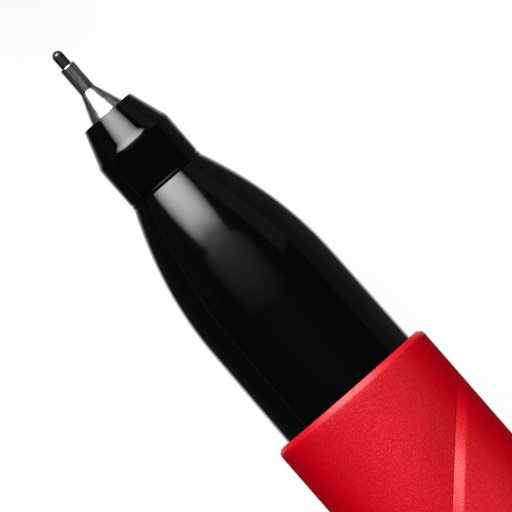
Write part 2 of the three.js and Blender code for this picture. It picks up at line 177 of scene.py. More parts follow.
def bonded_fibre():
    """Fine strands full of ink, shinier where they are wetter."""
    finish = Finish("ink_fibre", Specular_IOR_Level=0.35)
    strands = finish.noise(2.5, 0.09, 4.0, 0.6)
    damp = finish.noise(6.0, 2.0)
    finish.set({
        "Base Color": finish.blend(finish.ramp(strands, 0.35, 0.7), INK, WET_FIBRE),
        "Roughness": finish.vary(damp, 0.55, 0.95),
        "Normal": finish.relief(strands, 0.05),
    })
    return finish.material


def natural_plastic():
    """Unpigmented plastic: milky and waxy, with faint flow marks."""
    finish = Finish(
        "natural_plastic",
        IOR=PLASTIC_IOR,
        Subsurface_Weight=0.25,
        Subsurface_Radius=(0.9, 0.9, 0.8),
        Subsurface_Scale=0.8 * MM,
    )
    flow = finish.noise(4.0, 1.2, 3.0, 0.8)
    pits = finish.noise(0.08, 0.08, 2.0)
    finish.set({
        "Base Color": finish.blend(flow, MILKY, MILKY_FLOW),
        "Roughness": finish.vary(flow, 0.30, 0.42),
        "Normal": finish.relief(pits, 0.002),
    })
    return finish.material


def clear_film():
    """Thin film, a little cloudier along its creases."""
    finish = Finish("clear_film", IOR=1.5, Roughness=0.12)
    creases = finish.noise(3.0, 0.5, 4.0, 1.5)
    finish.set({
        "Base Color": finish.blend(creases, FILM_TINT, FILM_CREASE),
        "Alpha": finish.vary(creases, 0.22, 0.34),
        "Normal": finish.relief(creases, 0.02),
    })
    return finish.material


ink_fibre = bonded_fibre()
milky_plastic = natural_plastic()
for node, material in {
    "ink_reservoir": ink_fibre,
    "fine_wick": ink_fibre,
    "reservoir_film": clear_film(),
    "fine_nib_carrier": milky_plastic,
}.items():
    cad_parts[node].material_slots[0].material = material


# Barrel core
# One moulding in glossy black plastic. Its bullet-shaped front shows ahead of the sleeve, and the long
# tube behind it holds the ink store, which stands on a ledge in the bore.
DEEP_BLACK = (0.0010, 0.0010, 0.0011, 1)
DUSTY_BLACK = (0.0022, 0.0022, 0.0024, 1)
SLIP = 0.05  # radial clearance of pieces that slide or press together
NOSE_RADIUS = 3.07
LAND = 0.29  # straight edge between the seam and the bullet shape
BULLET_LENGTH = 11.4
BULLET_RADIUS = 5.565
BULLET_FULLNESS = 1.99  # power of the curve: higher is blunter
BORE_RADIUS = 4.75
LEDGE_RADIUS = 4.2
LEDGE_LENGTH = 1.0
FUNNEL_LENGTH = 5.0
SPIGOT_RADIUS = 2.5
CORE_EDGE = 0.06  # rounding of its front edge, at the seam
CORE_SIDES = 240
CRISP = math.radians(20)  # between two faces, from which their edge stays crisp
WELD = 1e-4  # points closer together than this become one

nib_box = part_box("fine_nib")
sleeve_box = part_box("outer_sleeve")
TIP = Vector((nib_box[0].x, *((sleeve_box[0] + sleeve_box[1]) / 2).yz))


def station(node, end):
    """Where a node starts (end 0) or ends (end 1), in millimetres back from the tip of the fine nib."""
    return (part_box(node)[end].x - TIP.x) / MM


def reach(node):
    """Largest radius of a node about the marker's axis, in millimetres."""
    return max((vertex.co - TIP).yz.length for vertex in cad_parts[node].data.vertices) / MM


def gloss_black(name, roughness, waviness):
    """Black plastic from a polished mould, with faint flow waves, hairlines and a trace of dust."""
    finish = Finish(name, IOR=PLASTIC_IOR)
    waves = finish.noise(3.2, 1.1, 2.0, 0.4)
    dust = finish.noise(0.06, 0.06, 4.0)
    hairlines = finish.noise(5.0, 0.05, 2.0)
    polish = finish.vary(waves, 0.92, 1.08) * roughness
    finish.set({
        "Base Color": finish.blend(finish.ramp(dust, 0.62, 0.8), DEEP_BLACK, DUSTY_BLACK),
        "Roughness": polish + finish.ramp(hairlines, 0.55, 0.75) * 0.012,
        "Normal": finish.relief(waves, waviness),
    })
    return finish.material


class Recipe(Graph):
    """A Geometry Nodes tree with a named input for each size."""

    KINDS = {
        int: "NodeSocketInt",
        float: "NodeSocketFloat",
        Vector: "NodeSocketVector",
        bpy.types.Material: "NodeSocketMaterial",
    }

    def __init__(self, name, sizes):
        super().__init__(bpy.data.node_groups.new(name, "GeometryNodeTree"))
        self.sizes = sizes
        self.tree.interface.new_socket("Mesh", in_out="OUTPUT", socket_type="NodeSocketGeometry")
        self.keys = {}
        for label, value in sizes.items():
            kind = self.KINDS[type(value)]
            socket = self.tree.interface.new_socket(label, in_out="INPUT", socket_type=kind)
            self.keys[label] = socket.identifier
        self.entry = self.tree.nodes.new("NodeGroupInput")
        self.exit = self.tree.nodes.new("NodeGroupOutput")

    def __getitem__(self, label):
        return Wire(self, self.entry.outputs[label])

    def give(self, geometry):
        self.tree.links.new(geometry.socket, self.exit.inputs[0])

    def bake(self, name):
        """A plain mesh object that this tree makes of its sizes."""
        carrier = bpy.data.objects.new(name + "_recipe", bpy.data.meshes.new(name + "_recipe"))
        bpy.context.scene.collection.objects.link(carrier)
        modifier = carrier.modifiers.new("recipe", "NODES")
        modifier.node_group = self.tree
        for label, value in self.sizes.items():
            modifier[self.keys[label]] = value
        ready = carrier.evaluated_get(bpy.context.evaluated_depsgraph_get())
        piece = bpy.data.objects.new(name, bpy.data.meshes.new_from_object(ready))
        bpy.data.objects.remove(carrier)
        bpy.context.scene.collection.objects.link(piece)
        return piece


def turned_strip():
    """One strip of a turned surface. Its radius closes on the end radius by a power of the run left."""
    recipe = Recipe("turned strip", {
        "Rows": 2,
        "Sides": 3,
        "Start": 0.0,
        "Start Radius": 0.0,
        "End": 0.0,
        "End Radius": 0.0,
        "Fullness": 1.0,
    })
    counts = {"Vertices X": recipe["Rows"] + 1, "Vertices Y": recipe["Sides"] + 1}
    grid = recipe.node("GeometryNodeMeshGrid", {}, {"Size X": 1.0, "Size Y": 1.0, **counts})
    flat = recipe.node("GeometryNodeInputPosition")
    share = recipe.node("ShaderNodeSeparateXYZ", {}, {0: flat}, "X")
    run = share + 0.5
    angle = (share.twin("Y") + 0.5) * -math.tau
    left = recipe.math("MAXIMUM", 1 - run, 0.0)
    drop = (recipe["End Radius"] - recipe["Start Radius"]) * left ** recipe["Fullness"]
    radius = recipe["End Radius"] - drop
    along = recipe["Start"] + (recipe["End"] - recipe["Start"]) * run
    sideways = radius * recipe.math("COSINE", angle)
    upwards = radius * recipe.math("SINE", angle)
    place = recipe.node("ShaderNodeCombineXYZ", {}, {"X": along, "Y": sideways, "Z": upwards})
    recipe.give(recipe.node("GeometryNodeSetPosition", {}, {"Geometry": grid, "Position": place}))
    return recipe


def barrel_core(finish):
    """The whole moulding: strips that run over the outside and back through the bore."""
    recipe = Recipe("barrel core", {
        "Tip": TIP,
        "Sides": CORE_SIDES,
        "Front": station("barrel_core", 0),
        "Edge": CORE_EDGE,
        "Land": LAND,
        "Nose Radius": NOSE_RADIUS,
        "Bullet Length": BULLET_LENGTH,
        "Bullet Radius": BULLET_RADIUS,
        "Bullet Fullness": BULLET_FULLNESS,
        "Sleeve Front": station("outer_sleeve", 0),
        "Radius": reach("barrel_core"),
        "End": station("barrel_core", 1),
        "Bore Radius": BORE_RADIUS,
        "Ledge Radius": LEDGE_RADIUS,
        "Ledge Length": LEDGE_LENGTH,
        "Funnel Length": FUNNEL_LENGTH,
        "Spigot End": station("fine_nose", 1),
        "Spigot Hole": SPIGOT_RADIUS + SLIP,
        "Finish": finish,
    })
    strip = turned_strip()
    front = recipe["Front"]
    edge_end = front + recipe["Edge"]
    bullet_start = front + recipe["Land"]
    bullet_end = bullet_start + recipe["Bullet Length"]
    ledge_start = recipe["Spigot End"] + recipe["Funnel Length"]
    ledge_end = ledge_start + recipe["Ledge Length"]
    # For each strip its rows of faces, the power of its curve, and the station and radius where it ends.
    route = [
        (2, 1.0, front, recipe["Nose Radius"] - recipe["Edge"]),
        (6, 2.0, edge_end, recipe["Nose Radius"]),
        (2, 1.0, bullet_start, recipe["Nose Radius"]),
        (72, recipe["Bullet Fullness"], bullet_end, recipe["Bullet Radius"]),
        (12, 1.0, recipe["Sleeve Front"], recipe["Radius"]),
        (40, 1.0, recipe["End"], recipe["Radius"]),
        (1, 1.0, recipe["End"], recipe["Bore Radius"]),
        (40, 1.0, ledge_end, recipe["Bore Radius"]),
        (1, 1.0, ledge_end, recipe["Ledge Radius"]),
        (1, 1.0, ledge_start, recipe["Ledge Radius"]),
        (4, 1.0, recipe["Spigot End"], recipe["Spigot Hole"]),
        (6, 1.0, front, recipe["Spigot Hole"]),
    ]
    strips = []
    start, start_radius = front, recipe["Spigot Hole"]
    for rows, fullness, end, end_radius in route:
        strips.append(recipe.node("GeometryNodeGroup", {"node_tree": strip.tree}, {
            "Rows": rows,
            "Sides": recipe["Sides"],
            "Start": start,
            "Start Radius": start_radius,
            "End": end,
            "End Radius": end_radius,
            "Fullness": fullness,
        }))
        start, start_radius = end, end_radius
    joined = recipe.node("GeometryNodeJoinGeometry", {}, {0: strips})
    closed = recipe.node("GeometryNodeMergeByDistance", {}, {"Geometry": joined, "Distance": WELD})
    smooth = recipe.node("GeometryNodeSetShadeSmooth", {}, {"Geometry": closed})
    placed = recipe.node(
        "GeometryNodeTransform",
        {},
        {"Geometry": smooth, "Translation": recipe["Tip"], "Scale": (MM, MM, MM)},
    )
    real = recipe.node("GeometryNodeRealizeInstances", {}, {"Geometry": placed})
    dressed = recipe.node(
        "GeometryNodeSetMaterial", {}, {"Geometry": real, "Material": recipe["Finish"]}
    )
    recipe.give(dressed)
    return recipe.bake("bullet_barrel")


core = barrel_core(gloss_black("black_gloss_barrel", 0.10, 0.0012))
core.data.set_sharp_from_angle(angle=CRISP)
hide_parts("barrel_core")
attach(core, "marker")


# Ferrule
# A thin metal tube with a cone behind it, drawn in one from sheet and rolled in round the nib. Drawing
# leaves fine lengthwise streaks in its polish.
METAL = (0.36, 0.37, 0.39, 1)
METAL_STREAK = (0.90, 0.91, 0.93, 1)
FERRULE_BORE = 0.44
FERRULE_WALL = 0.155
FERRULE_TUBE_RADIUS = 0.595
FERRULE_TUBE_LENGTH = 2.24
FERRULE_CONE_RISE = 0.388  # of the radius per length
FERRULE_LIP = 0.07  # how far its rolled lip stands ahead of the solid's plain end
HOLD = 0.03  # from the end of a straight stretch to the row that keeps its shading straight
STRAIGHT = 0.6  # shortest stretch with such rows
ROW_RUN = 3  # longest stretch without a row in it
BEND_STEPS = 8


def bend(start, corner, end):
    """Points of a curve from start to end that is tangent to the lines through its corner."""
    shares = [step / BEND_STEPS for step in range(BEND_STEPS + 1)]
    return [start.lerp(corner, share).lerp(corner.lerp(end, share), share) for share in shares]


def eased(outline):
    """Points of an outline of (station, radius) corners. A third number rounds its corner so much."""
    corners = [Vector(entry[:2]) for entry in outline]
    points = []
    for index, (entry, corner) in enumerate(zip(outline, corners)):
        if len(entry) == 2:
            points.append(corner)
            continue
        before = (corners[index - 1] - corner).normalized()
        after = (corners[(index + 1) % len(corners)] - corner).normalized()
        points += bend(corner + before * entry[2], corner, corner + after * entry[2])
    return points


def held(points):
    """The same points, with rows near both ends of each straight stretch and every few millimetres."""
    full = []
    for here, there in zip(points, points[1:] + points[:1]):
        full.append(here)
        run = (there - here).length
        if run > STRAIGHT and (here.y > 0 or there.y > 0):
            count = math.ceil(run / ROW_RUN)
            shares = [HOLD / run, *(step / count for step in range(1, count)), 1 - HOLD / run]
            full += [here.lerp(there, share) for share in shares]
    return full


def skin(name, rows, closed):
    """A mesh object from rows of points that run round it. closed joins the last row to the first."""
    rows = np.asarray(rows)
    index = np.arange(rows[..., 0].size).reshape(rows.shape[:2])
    following = np.roll(index, -1, axis=0)
    if not closed:
        index, following = index[:-1], following[:-1]
    faces = np.stack([index, following, np.roll(following, -1, axis=1), np.roll(index, -1, axis=1)], -1)
    mesh = bpy.data.meshes.new(name)
    mesh.from_pydata(rows.reshape(-1, 3).tolist(), [], faces.reshape(-1, 4).tolist())
    shape = bmesh.new()
    shape.from_mesh(mesh)
    bmesh.ops.remove_doubles(shape, verts=shape.verts, dist=WELD * MM)
    bmesh.ops.recalc_face_normals(shape, faces=shape.faces)
    shape.to_mesh(mesh)
    shape.free()
    mesh.shade_smooth()
    mesh.set_sharp_from_angle(angle=CRISP)
    piece = bpy.data.objects.new(name, mesh)
    bpy.context.scene.collection.objects.link(piece)
    return piece


def turned(name, outline, sides=192):
    """An outline turned about the marker's axis. It starts and ends on the axis or closes on itself."""
    points = held(eased(outline))
    angles = np.arange(sides) * math.tau / sides
    ring = np.stack([np.zeros(sides), np.cos(angles), np.sin(angles)], -1)
    rows = [np.array([at, 0, 0]) + ring * radius for at, radius in points]
    return skin(name, np.array(rows) * MM + np.array(TIP), closed=outline[0][1] > 0)


def settle(piece, node, body, finish):
    """Gives a piece its finish and puts it in the place of its solid."""
    piece.data.materials.append(finish)
    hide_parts(node)
    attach(piece, body)


def drawn_metal():
    """Polished metal with pale lengthwise streaks and faint smudges."""
    finish = Finish("ferrule_metal", Metallic=1.0)
    streaks = finish.noise(3.2, 0.16, 3.0)
    smudges = finish.noise(1.2, 0.5, 3.0, 0.8)
    lines = finish.ramp(streaks, 0.35, 0.65)
    finish.set({
        "Base Color": finish.blend(lines, METAL, METAL_STREAK),
        "Roughness": finish.vary(smudges, 0.25, 0.34),
        "Normal": finish.relief(streaks, 0.004),
    })
    return finish.material


ferrule_radius = reach("fine_ferrule")
ferrule_front = station("fine_ferrule", 0) - FERRULE_LIP
ferrule_end = station("fine_ferrule", 1)
cone_start = ferrule_front + FERRULE_TUBE_LENGTH
cone_end = cone_start + (ferrule_radius - FERRULE_TUBE_RADIUS) / FERRULE_CONE_RISE
ferrule = turned("drawn_ferrule", [
    (ferrule_front, FERRULE_BORE, 0.02),
    (ferrule_front, FERRULE_TUBE_RADIUS, 0.14),
    (cone_start, FERRULE_TUBE_RADIUS, 0.05),
    (cone_end, ferrule_radius, 0.15),
    (ferrule_end, ferrule_radius, 0.04),
    (ferrule_end, ferrule_radius - FERRULE_WALL),
    (cone_end, ferrule_radius - FERRULE_WALL),
    (cone_start, FERRULE_BORE),
])
settle(ferrule, "fine_ferrule", "marker", drawn_metal())


# Nose
# A short black cone with a ring behind it, moulded in one with the spigot that presses into the barrel.
# It grips the ferrule's tail, and its surface is polished like a mirror.
NOSE_FACE_RADIUS = 2.11
CONE_RISE = 0.334
FLARE_START = 2.395  # behind the nose's face, where the cone opens into the ring
FLARE_RISE = 0.46
RING_RADIUS = 3.081
RING_END_RADIUS = 3.062
SEAM = 0.1  # gap between two faces that are pushed against each other
SEAM_DEPTH = 0.05  # a low shoulder fills it below this
WICK_RADIUS = 1.0

nose_face = station("fine_nose", 0)
nose_end = station("barrel_core", 0) - SEAM
nose_mouth = FERRULE_TUBE_RADIUS + (nose_face - cone_start) * FERRULE_CONE_RISE + SLIP
spigot_end = station("fine_nose", 1)
flare_start = nose_face + FLARE_START
flare_radius = NOSE_FACE_RADIUS + CONE_RISE * FLARE_START
ring_start = flare_start + (RING_RADIUS - flare_radius) / FLARE_RISE
nose = turned("nose_cone", [
    (nose_face, nose_mouth),
    (nose_face, NOSE_FACE_RADIUS, 0.1),
    (flare_start, flare_radius, 0.2),
    (ring_start, RING_RADIUS, 0.17),
    (nose_end, RING_END_RADIUS, 0.05),
    (nose_end, RING_END_RADIUS - SEAM_DEPTH),
    (nose_end + SEAM, RING_END_RADIUS - SEAM_DEPTH),
    (nose_end + SEAM, SPIGOT_RADIUS),
    (spigot_end, SPIGOT_RADIUS, 0.15),
    (spigot_end, WICK_RADIUS + SLIP),
    (ferrule_end + SEAM, WICK_RADIUS + SLIP),
    (ferrule_end + SEAM, ferrule_radius + SLIP),
    (cone_end, ferrule_radius + SLIP),
])
settle(nose, "fine_nose", "marker", gloss_black("black_gloss_nose", 0.04, 0.0004))


# Fine nib
# A thin rod of porous plastic fibre with a rounded end, wet with black ink. The ferrule's cone stops its
# wider tail.
NIB_RADIUS = 0.41
NIB_ROUNDING = 0.45
NIB_TAIL_RADIUS = 0.75
NIB_SHOULDER_SETBACK = 0.4  # behind the start of the ferrule's cone
NIB_ROWS = 16  # over its rounded end
NIB_BLACK = (0.0025, 0.0025, 0.0030, 1)
NIB_GREY = (0.008, 0.008, 0.009, 1)


def inked_nib(name, strand, wetness, relief):
    """Fibre with strands of this width and relief, under a film of ink where it is wet."""
    finish = Finish(name, Specular_IOR_Level=0.3, Coat_Roughness=0.26, Coat_IOR=1.9)
    strands = finish.noise(strand * 12, strand, 4.0, 0.3)
    pores = finish.noise(strand, strand, 2.0)
    worn = finish.ramp(strands, 0.4, 0.75)
    finish.set({
        "Base Color": finish.blend(worn, NIB_BLACK, NIB_GREY),
        "Roughness": finish.vary(pores, 0.45, 0.75),
        "Coat Weight": finish.vary(pores, wetness, wetness * 0.6),
        "Normal": finish.relief(strands, relief, finish.relief(pores, relief / 2)),
    })
    return finish.material


nib_end = station("fine_nib", 1)
shoulder = cone_start + NIB_SHOULDER_SETBACK
tail_start = shoulder + (NIB_TAIL_RADIUS - NIB_RADIUS) / FERRULE_CONE_RISE
quarter = [math.pi / 2 * step / NIB_ROWS for step in range(1, NIB_ROWS)]
nib = turned("porous_nib", [
    (0, 0),
    *((NIB_ROUNDING * (1 - math.cos(angle)), NIB_RADIUS * math.sin(angle)) for angle in quarter),
    (NIB_ROUNDING, NIB_RADIUS),
    (shoulder, NIB_RADIUS),
    (tail_start, NIB_TAIL_RADIUS, 0.1),
    (nib_end, NIB_TAIL_RADIUS, 0.1),
    (nib_end, 0),
], sides=96)
settle(nib, "fine_nib", "marker", inked_nib("nib_fibre", 0.05, 1.0, 0.003))


# Outer sleeve
# A red tube pushed over the barrel, moulded with a fine satin grain. A shallow groove runs slantwise
# across its top and, mirrored, underneath: a gentle dip, a low wall and a ramp that rises rearwards.
RED = (0.550, 0.0004, 0.0085, 1)
RED_SHADE = (0.522, 0.0003, 0.0070, 1)
# lighter specks painted into the red where its grain would sparkle in the light: painted glints
RED_PAINTED_GLINT = (0.740, 0.0090, 0.0260, 1)
SLEEVE_FRONT_RUN = 0.46  # length of the bevel round the front edge
SLEEVE_FRONT_DROP = 0.24
SLEEVE_CROWN_RUN = 0.9  # behind the bevel the sleeve still swells by a trace
SLEEVE_CROWN_RISE = 0.04
SLEEVE_CROWN_TURN = 0.4  # share of that run at which its curve turns
SLEEVE_CROWN_START = 0.1  # from the bevel to the start of that curve
SLEEVE_LIP_EASE = 0.05  # rounding of the foremost edge
SLEEVE_BEVEL_EASE = 0.08  # rounding of the edge between bevel and crown
SLEEVE_FRONT_TAPER = 0.5  # by how much the bevel is shorter at the sides than on top
SLEEVE_TAPER_POWER = 3  # higher keeps it closer to the sides
SLEEVE_FRONT_SAG = 0.4  # and by how much the bevel is deeper there
SLEEVE_SAG_POWER = 6
SLEEVE_ROUNDING = 0.3  # of the rear edge
GROOVE_STATION = 42.3  # where its wall crosses the middle of the sleeve
GROOVE_LEAN = 1.057  # forward run per width
GROOVE_WIDTH = 0.8  # square across the groove
GROOVE_DEPTH = 0.38
GROOVE_DIP = 0.85  # share of the depth that the surface ahead sinks by before the wall
GROOVE_DIP_RUN = 5.0
GROOVE_WALL = 0.035  # run of the steep wall with its eased edges
GROOVE_EASE = 0.14  # run over which the top of the ramp is eased
SLEEVE_SIDES = 288
DIP_ROWS = 33  # rows of points over the dip, and below over each stretch behind it
WALL_ROWS = 9
RAMP_ROWS = 7
EASE_ROWS = 9
REAR_ROWS = 25
BORE_ROWS = 12
REAR_HOLD = 0.999  # share of the rear stretch at which one more row keeps its shading straight
DULLED = 0.92  # share of the gloss that the grain takes where it is seen edge on
DULLED_FACING = (0.12, 0.45)  # from facing the eye, where that starts and is full
DULLED_BEHIND = (0.3, 0.6)  # the same behind the front edge, so that the bevel keeps its gloss


def satin_red():
    """Red plastic with a fine grain, which takes its gloss away where it is seen edge on, and lighter
    specks painted on it as glints of the grain.
    """
    finish = Finish("red_satin", IOR=PLASTIC_IOR, Specular_IOR_Level=0.46)
    grain = finish.noise(0.14, 0.14, 2.0)
    cloud = finish.noise(2.2, 1.4, 3.0, 0.5)
    edge_on = finish.node("ShaderNodeLayerWeight", {}, {"Blend": 0.5}, "Facing")
    body = finish.blend(finish.vary(cloud), RED_SHADE, RED)
    finish.set({
        # lighter specks in the grain: painted glints
        "Base Color": finish.blend(finish.ramp(grain, 0.5, 0.75) * 0.5, body, RED_PAINTED_GLINT),
        "Roughness": finish.vary(grain, 0.34, 0.50),
        "Normal": finish.relief(grain, 0.024),
    })
    dull = finish.node(
        "ShaderNodeBsdfPrincipled", {}, {"Base Color": body, "Roughness": 0.9, "Specular IOR Level": 0.0}
    )
    front = TIP.x + station("outer_sleeve", 0) * MM
    past_start, past_full = (distance * MM for distance in DULLED_BEHIND)
    behind_front = finish.node("ShaderNodeSeparateXYZ", {}, {"Vector": finish.place}, "X") - front
    past_bevel = finish.ramp(finish.math("ABSOLUTE", behind_front), past_start, past_full)
    glancing = finish.ramp(edge_on, *DULLED_FACING) * past_bevel * DULLED
    gloss = Wire(finish, finish.shader.outputs[0])
    seen = finish.node("ShaderNodeMixShader", {}, {0: glancing, 1: gloss, 2: dull})
    finish.feed(finish.tree.nodes["Material Output"], {"Surface": seen})
    return finish.material


def outer_sleeve():
    """Rows of points from the front edge over the groove to the rear edge, and back through the bore."""
    radius = reach("outer_sleeve")
    front, end = station("outer_sleeve", 0), station("outer_sleeve", 1)
    bore = reach("barrel_core") + SLIP
    behind = end - SLEEVE_ROUNDING
    run = GROOVE_WIDTH * math.hypot(1, GROOVE_LEAN)
    angles = np.arange(SLEEVE_SIDES) * math.tau / SLEEVE_SIDES
    sideways, upwards = np.sin(angles), np.cos(angles)
    taper = 1 - SLEEVE_FRONT_TAPER * np.abs(sideways) ** SLEEVE_TAPER_POWER
    sag = 1 + SLEEVE_FRONT_SAG * sideways**SLEEVE_SAG_POWER
    ahead = front + (SLEEVE_FRONT_RUN + SLEEVE_CROWN_RUN) * taper
    wall = GROOVE_STATION - GROOVE_LEAN * radius * sideways

    def row(at, deep=0.0, size=radius):
        """Points round the sleeve at a station, or one for each point, and a depth in the groove."""
        height = (size - GROOVE_DEPTH * deep) * upwards
        return np.stack([np.broadcast_to(at, angles.shape), size * sideways, height], -1)

    def depth(offset):
        """How deep the groove is behind the start of its wall, from 0 to 1."""
        fall = min(max(offset / GROOVE_WALL + 0.5, 0), 1)
        left = run - max(offset, 0)
        if left < GROOVE_EASE:
            left = (max(left + GROOVE_EASE, 0) / 2) ** 2 / GROOVE_EASE
        return (GROOVE_DIP + (1 - GROOVE_DIP) * fall * fall * (3 - 2 * fall)) * left / run

    bevel_start = Vector((0, SLEEVE_FRONT_DROP))
    bevel_end = Vector((SLEEVE_FRONT_RUN, SLEEVE_CROWN_RISE))
    crown_corner = Vector((SLEEVE_FRONT_RUN + SLEEVE_CROWN_RUN * SLEEVE_CROWN_TURN, 0))
    crown_end = Vector((SLEEVE_FRONT_RUN + SLEEVE_CROWN_RUN, 0))
    along_bevel = (bevel_end - bevel_start).normalized()
    along_crown = (crown_corner - bevel_end).normalized()
    lip = bevel_start + Vector((0, SLEEVE_LIP_EASE))
    before = bevel_end - along_bevel * SLEEVE_BEVEL_EASE
    after = bevel_end + along_crown * SLEEVE_BEVEL_EASE
    front_edge = [
        *bend(lip, bevel_start, bevel_start + along_bevel * SLEEVE_LIP_EASE),
        *bend(before, bevel_end, after),
        *bend(bevel_end + along_crown * SLEEVE_CROWN_START, crown_corner, crown_end),
    ]
    end_edge = bend(
        Vector((end - SLEEVE_ROUNDING, radius)),
        Vector((end, radius)),
        Vector((end, radius - SLEEVE_ROUNDING)),
    )
    wall_offsets = np.linspace(-GROOVE_WALL / 2, GROOVE_WALL / 2, WALL_ROWS)
    ramp_offsets = np.linspace(GROOVE_WALL / 2, run - GROOVE_EASE, RAMP_ROWS)[1:]
    ease_offsets = np.linspace(run - GROOVE_EASE, run + GROOVE_EASE, EASE_ROWS)[1:]
    rows = [row(front + at * taper, size=radius - drop * sag) for at, drop in front_edge]
    stretch = wall - GROOVE_WALL / 2 - ahead
    dip_run = np.minimum(stretch, GROOVE_DIP_RUN)
    for share in np.linspace(0, 1, DIP_ROWS)[1:-1]:
        sunk = np.clip(1 - stretch * (1 - share) / dip_run, 0, 1) ** 2
        rows.append(row(ahead + stretch * share, GROOVE_DIP * sunk))
    offsets = (*wall_offsets, *ramp_offsets, *ease_offsets)
    rows += [row(wall + offset, depth(offset)) for offset in offsets]
    ramp_end = wall + offsets[-1]
    for share in (*np.linspace(0, 1, REAR_ROWS)[1:-1], REAR_HOLD):
        rows.append(row(ramp_end + (behind - ramp_end) * share))
    rows += [row(at, size=size) for at, size in end_edge]
    rows += [row(at, size=bore) for at in np.linspace(end, front, BORE_ROWS)]
    return skin("red_sleeve", np.array(rows) * MM + np.array(TIP), closed=True)


red_satin = satin_red()
settle(outer_sleeve(), "outer_sleeve", "marker", red_satin)


# Broad collar
# A glossy black end piece that plugs the barrel and holds the broad nib. The broad cap grips its
# straight seat and seals round its neck.
NECK_RADIUS = 3.7
COLLAR_SEAT_LENGTH = 9.0
COLLAR_TAPER_LENGTH = 6.0
COLLAR_SEAT_END_RADIUS = 5.5
COLLAR_TAPER_POWER = 1.85  # of the taper's curve
COLLAR_TAPER_ROWS = 40
BROAD_NIB_RADIUS = 2.3

black_gloss = gloss_black("black_gloss", 0.08, 0.0008)
collar_start = station("broad_collar", 0)
collar_end = station("broad_collar", 1)
collar_radius = reach("broad_collar")
sleeve_end = station("outer_sleeve", 1)
seat_end = sleeve_end + COLLAR_SEAT_LENGTH
neck_start = seat_end + COLLAR_TAPER_LENGTH
collar_fall = COLLAR_SEAT_END_RADIUS - NECK_RADIUS
collar_taper = []
for step in range(1, COLLAR_TAPER_ROWS):
    share = step / COLLAR_TAPER_ROWS
    fall = collar_fall * share**COLLAR_TAPER_POWER
    collar_taper.append((seat_end + COLLAR_TAPER_LENGTH * share, COLLAR_SEAT_END_RADIUS - fall))
collar = turned("nib_collar", [
    (collar_start, BROAD_NIB_RADIUS + SLIP),
    (collar_start, BORE_RADIUS - SLIP, 0.2),
    (station("barrel_core", 1) + SEAM, BORE_RADIUS - SLIP),
    (station("barrel_core", 1) + SEAM, collar_radius, 0.1),
    (sleeve_end, collar_radius, 0.1),
    (seat_end, COLLAR_SEAT_END_RADIUS),
    *collar_taper,
    (neck_start, NECK_RADIUS),
    (collar_end, NECK_RADIUS, 0.5),
    (collar_end, BROAD_NIB_RADIUS + SLIP, 0.1),
])
settle(collar, "broad_collar", "marker", black_gloss)


# Broad nib
# A stout rod of pressed felt, cut to a slanting chisel edge and soaked with ink. Its tail stands in the
# ink store.
CHISEL_ANGLE = math.radians(15)
CHISEL_EDGE = 0.9
CHISEL_SLANT = math.radians(25)
NIB_BEVEL = 0.14
NIB_BEVEL_FROM = math.radians(30)  # between two faces, from which their edge is worn
NIB_CRISP = math.radians(40)


def chisel_nib():
    """A rod that three planes cut to an edge, with its edges worn."""
    tail, tip = station("broad_nib", 0), station("broad_nib", 1)
    piece = turned("chisel_nib", [
        (tail, 0),
        (tail, BROAD_NIB_RADIUS, 0.15),
        (tip, BROAD_NIB_RADIUS),
        (tip, 0),
    ], sides=96)
    lead = BROAD_NIB_RADIUS * math.tan(CHISEL_SLANT)
    shape = bmesh.new()
    shape.from_mesh(piece.data)
    cuts = [
        ((tip, 0, CHISEL_EDGE / 2), (math.sin(CHISEL_ANGLE), 0, math.cos(CHISEL_ANGLE))),
        ((tip, 0, -CHISEL_EDGE / 2), (math.sin(CHISEL_ANGLE), 0, -math.cos(CHISEL_ANGLE))),
        ((tip - lead, 0, 0), (math.cos(CHISEL_SLANT), math.sin(CHISEL_SLANT), 0)),
    ]
    for point, outwards in cuts:
        cut = bmesh.ops.bisect_plane(
            shape,
            geom=[*shape.verts, *shape.edges, *shape.faces],
            plane_co=Vector(point) * MM + TIP,
            plane_no=outwards,
            clear_outer=True,
        )
        rim = [item for item in cut["geom_cut"] if isinstance(item, bmesh.types.BMEdge)]
        bmesh.ops.contextual_create(shape, geom=rim)
    bmesh.ops.recalc_face_normals(shape, faces=shape.faces)
    shape.to_mesh(piece.data)
    shape.free()
    bevel = piece.modifiers.new("worn_edges", "BEVEL")
    bevel.width = NIB_BEVEL * MM
    bevel.segments = 3
    bevel.angle_limit = NIB_BEVEL_FROM
    ready = piece.evaluated_get(bpy.context.evaluated_depsgraph_get())
    mesh = bpy.data.meshes.new_from_object(ready)
    piece.modifiers.clear()
    piece.data = mesh
    mesh.shade_smooth()
    mesh.set_sharp_from_angle(angle=NIB_CRISP)
    return piece


broad_felt = inked_nib("broad_nib_felt", 0.12, 0.25, 0.03)
settle(chisel_nib(), "broad_nib", "marker", broad_felt)


# Fine cap
# A glossy black shell with a milky sealing cup in it. A red plug with the pocket clip moulded on it
# closes the far end. The cap is off, and lies on its clip ahead of the fine nib.
CAP_DRAFT = 0.01  # fall of a cap's radii per depth
CAP_SLIP = 0.07  # radial clearance of a cap on the barrel
CUP_WALL = 0.6
CUP_FLOOR = 0.8
CUP_FLANGE_THICKNESS = 0.9
CAP_LEDGE_LENGTH = 1.2
CAP_LEDGE_SLIP = 0.1
PLUG_HEAD_RADIUS = 6.05
PLUG_HEAD_THICKNESS = 1.4
CLIP_OUTER_RADIUS = 8.9  # from the axis to the clip's back
CLIP_THICKNESS = 1.35
CLIP_WIDTH = 4.0
CLIP_LENGTH = 30.0
CLIP_ROUNDING = 1.1
CLIP_BEAD_LENGTH = 3.2  # the bead at its tip, which grips a pocket
CLIP_BEAD_GAP = 0.3  # between the bead and the cap
CLIP_ROOT_DEPTH = 2.5  # how far its root reaches into the plug's head
CLIP_BEVEL = 0.3


def into(mouth, side, outline):
    """A cap's outline, from depths in its mouth to stations. side is 1 where the cap runs rearwards."""
    return [(mouth + side * depth, *rest) for depth, *rest in outline]


